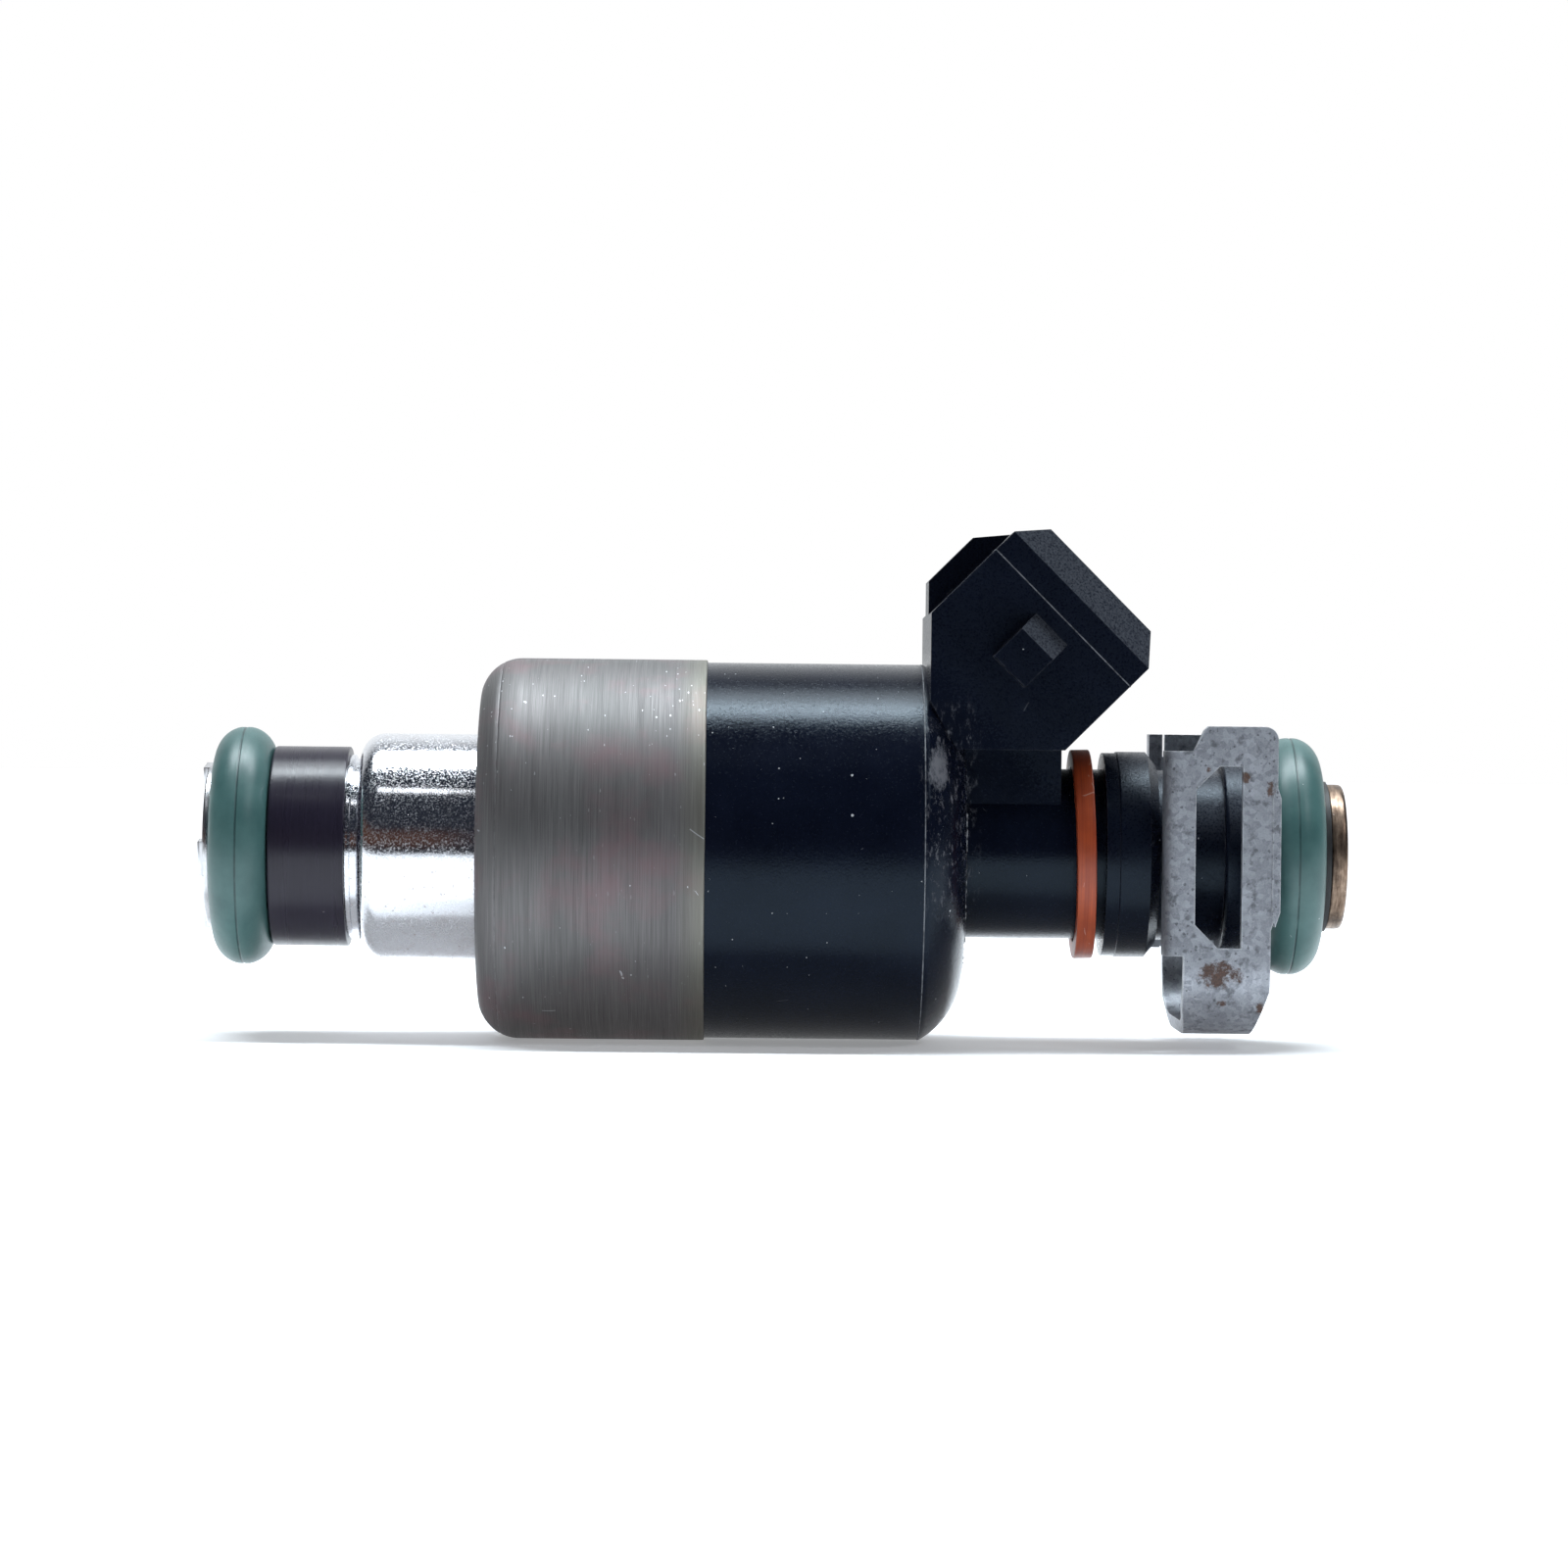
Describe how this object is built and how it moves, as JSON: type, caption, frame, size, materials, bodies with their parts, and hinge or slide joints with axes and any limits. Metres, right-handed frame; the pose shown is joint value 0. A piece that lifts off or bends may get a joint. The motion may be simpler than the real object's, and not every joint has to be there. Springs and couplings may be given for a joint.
{
  "type": "fuel injector",
  "caption": "Top-feed solenoid fuel injector with two sealing rings, a steel coil housing, a black moulded body with an angled plug socket, and a slide-on sheet-metal retainer clip.",
  "frame": {"origin": "centre of the lower (manifold) O-ring on the injector's axis", "axes": "+X along the injector's axis from the spray end to the fuel inlet, +Z towards the plug socket's side, +Y across"},
  "size_m": [0.0696, 0.0232, 0.0313],
  "materials": {
    "zinc_steel": "bright",
    "seal_rubber": "matte",
    "band_black": "satin",
    "nozzle_chrome": "polished",
    "stainless": "fine brushed",
    "ball_steel": "polished",
    "spring_steel": "drawn wire",
    "can_steel": "turned, chromated",
    "bobbin_nylon": "matte",
    "enamelled_wire": "wound wire",
    "inner_rubber": "matte",
    "tube_bronze": "heat stained",
    "brass_collar": "satin",
    "filter_plastic": "fine mesh",
    "blade_tin": "tinned",
    "body_black": "semi gloss moulded",
    "ring_orange": "satin",
    "clip_zinc": "galvanised, spangled"
  },
  "bodies": {
    "injector": {"tip_retainer": "zinc_steel", "lower_o_ring": "seal_rubber", "spacer_band": "band_black", "spray_housing": "nozzle_chrome", "director_plate": "stainless", "valve_seat": "stainless", "seat_seal": "inner_rubber", "ball_guide": "stainless", "solenoid_housing": "can_steel", "coil_bobbin": "bobbin_nylon", "coil_winding": "enamelled_wire", "bobbin_front_seal": "inner_rubber", "bobbin_rear_seal": "inner_rubber", "flux_washer": "stainless", "inlet_tube": "tube_bronze", "adjusting_sleeve": "stainless", "filter_collar": "brass_collar", "filter_basket": "filter_plastic", "terminal_left": "blade_tin", "terminal_right": "blade_tin", "connector_body": "body_black", "upper_o_ring": "seal_rubber", "backup_ring": "inner_rubber"},
    "valve_core": {"sliding_core": "stainless", "ball_valve": "ball_steel", "core_spring": "spring_steel"},
    "identity_ring": {"id_ring": "ring_orange"},
    "clip": {"retainer_clip": "clip_zinc"}
  },
  "joints": [
    {"name": "valve_lift", "type": "slide", "parent": "injector", "child": "valve_core", "axis": [1, 0, 0], "range_m": [0, 0.00015], "stiffness_N_per_m": 800, "springref_m": -0.003, "deforming": ["core_spring"]},
    {"name": "id_ring_slide", "type": "slide", "parent": "injector", "child": "identity_ring", "axis": [1, 0, 0], "range_m": [-0.0004, 0.0004]},
    {"name": "clip_slide", "type": "slide", "parent": "injector", "child": "clip", "axis": [0, 0, -1], "range_m": [0, 0.02]}
  ]
}
